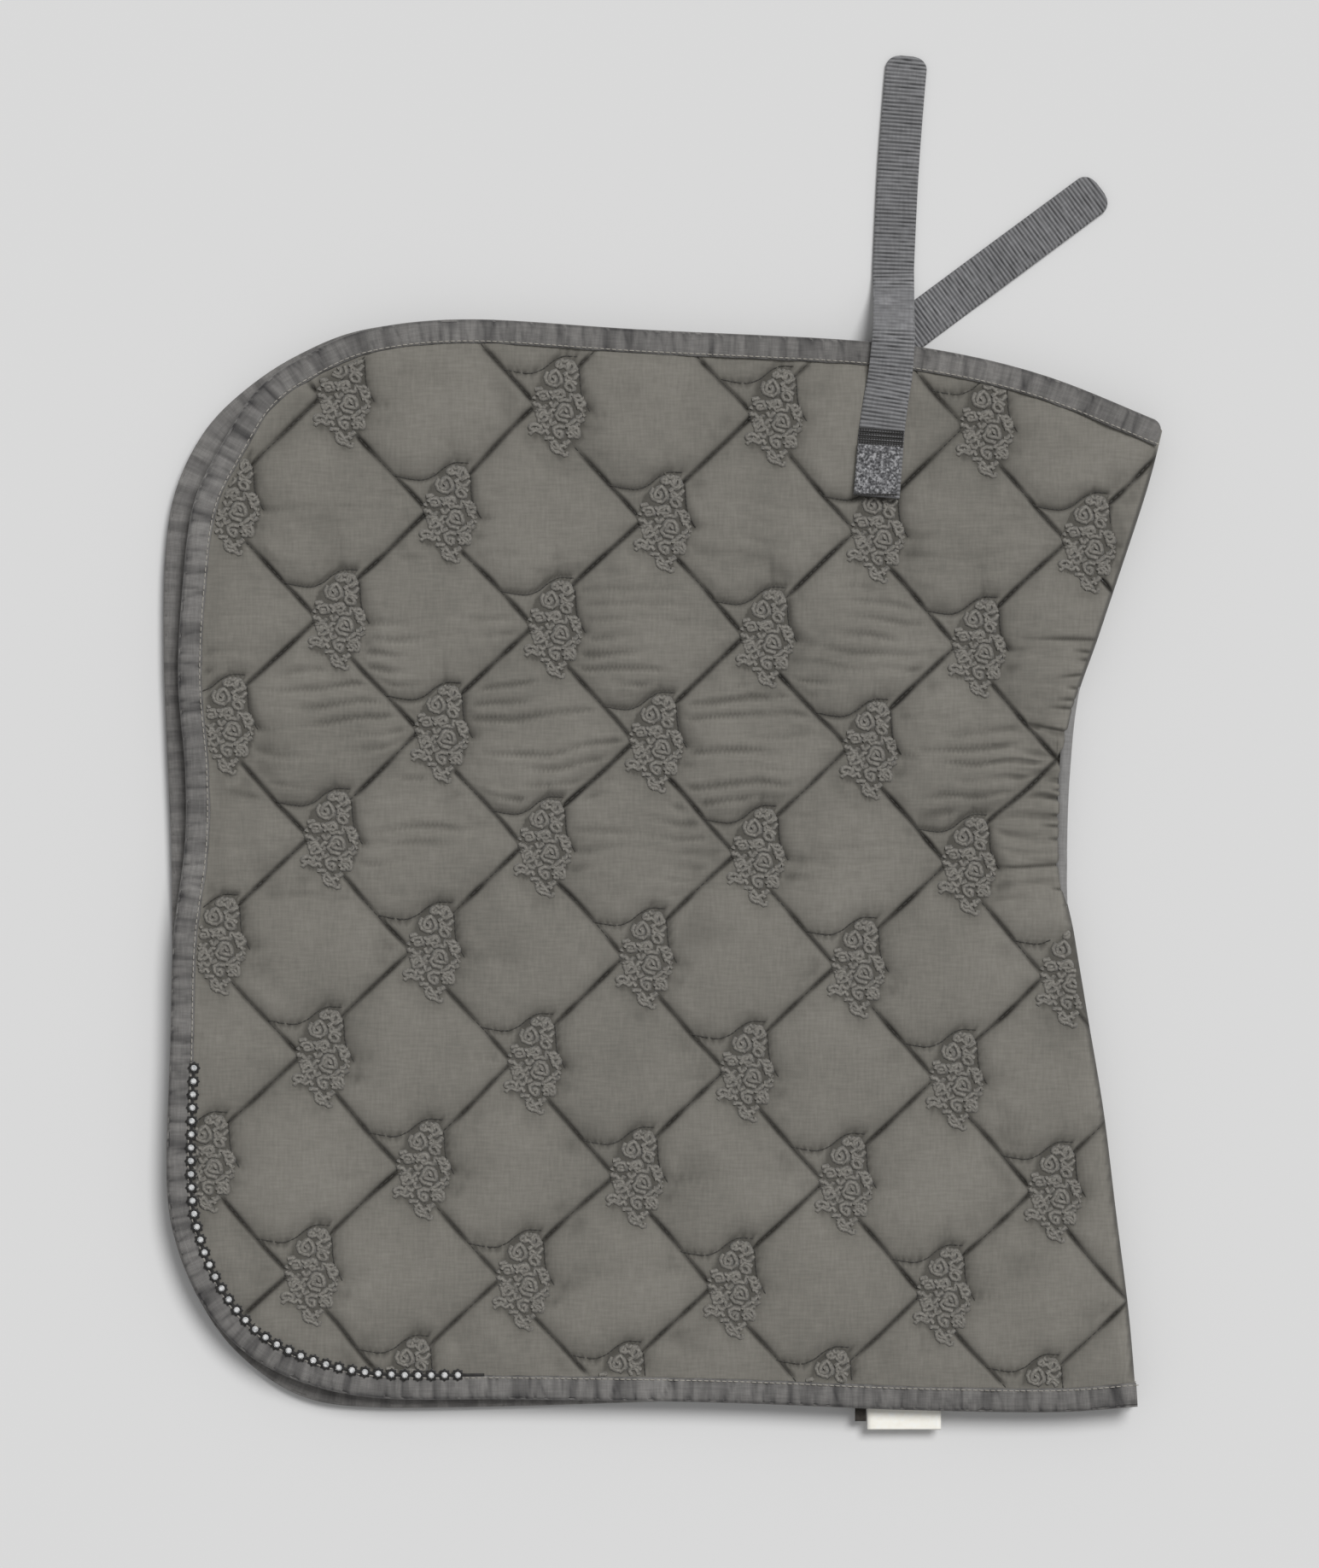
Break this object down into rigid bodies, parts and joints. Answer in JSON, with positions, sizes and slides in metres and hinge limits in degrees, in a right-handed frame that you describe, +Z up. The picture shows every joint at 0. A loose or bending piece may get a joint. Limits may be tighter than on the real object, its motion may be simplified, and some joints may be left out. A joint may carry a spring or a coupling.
{
  "type": "saddle pad",
  "caption": "Quilted saddle pad folded flat at its spine, with bound edges, a bead trim at the rear lower corner and a hook-and-loop webbing strap on each half.",
  "frame": {"origin": "underside of the right half's outer cover, in the middle of the folded pad", "axes": "+X towards the spine, +Y towards the front of the pad, +Z up through the folded halves"},
  "size_m": [0.5541, 0.7616, 0.025],
  "materials": {
    "quilted_cotton": "olive-grey cotton, diamond quilted, matt",
    "wadding": "bonded polyester wadding",
    "cotton_lining": "plain cotton lining, matt",
    "bias_binding": "gathered cotton binding, purplish grey",
    "crystal_beads": "faceted crystal beads in dark settings",
    "seam_tape": "woven seam tape",
    "ribbed_webbing": "grey ribbed polyester webbing",
    "loop_tape": "brushed loop tape",
    "hook_tape": "black hook tape",
    "satin_label": "off-white satin ribbon",
    "woven_tab": "black woven tab"
  },
  "bodies": {
    "right_half": {"right_cover": "quilted_cotton", "right_wadding": "wadding", "right_lining": "cotton_lining", "right_edge_binding": "bias_binding", "right_bead_trim": "crystal_beads", "right_strap_base": "ribbed_webbing", "right_loop_patch": "loop_tape", "spine_tape": "seam_tape", "spine_margin_cover": "quilted_cotton", "spine_margin_wadding": "wadding", "spine_margin_lining": "cotton_lining", "front_binding_end": "bias_binding", "rear_binding_end": "bias_binding", "care_label": "satin_label", "size_tab": "woven_tab"},
    "left_half": {"left_cover": "quilted_cotton", "left_wadding": "wadding", "left_lining": "cotton_lining", "left_edge_binding": "bias_binding", "left_bead_trim": "crystal_beads", "left_strap_base": "ribbed_webbing", "left_loop_patch": "loop_tape"},
    "left_strap": {"left_strap_webbing": "ribbed_webbing", "left_hook_tape": "hook_tape"},
    "right_strap": {"right_strap_webbing": "ribbed_webbing", "right_hook_tape": "hook_tape"}
  },
  "joints": [
    {"name": "spine_fold", "type": "hinge", "parent": "right_half", "child": "left_half", "pos_m": [0.2176, 0, 0.0237], "axis": [0, 1, 0], "range_deg": [0, 180]},
    {"name": "left_strap_bend", "type": "hinge", "parent": "left_half", "child": "left_strap", "pos_m": [0.1205, 0.2393, 0.0241], "axis": [0.9937, -0.1119, 0], "range_deg": [0, 165]},
    {"name": "right_strap_bend", "type": "hinge", "parent": "right_half", "child": "right_strap", "pos_m": [0.15035, 0.3064, 0.00075], "axis": [0.5961, -0.8029, 0], "range_deg": [0, 90]}
  ]
}
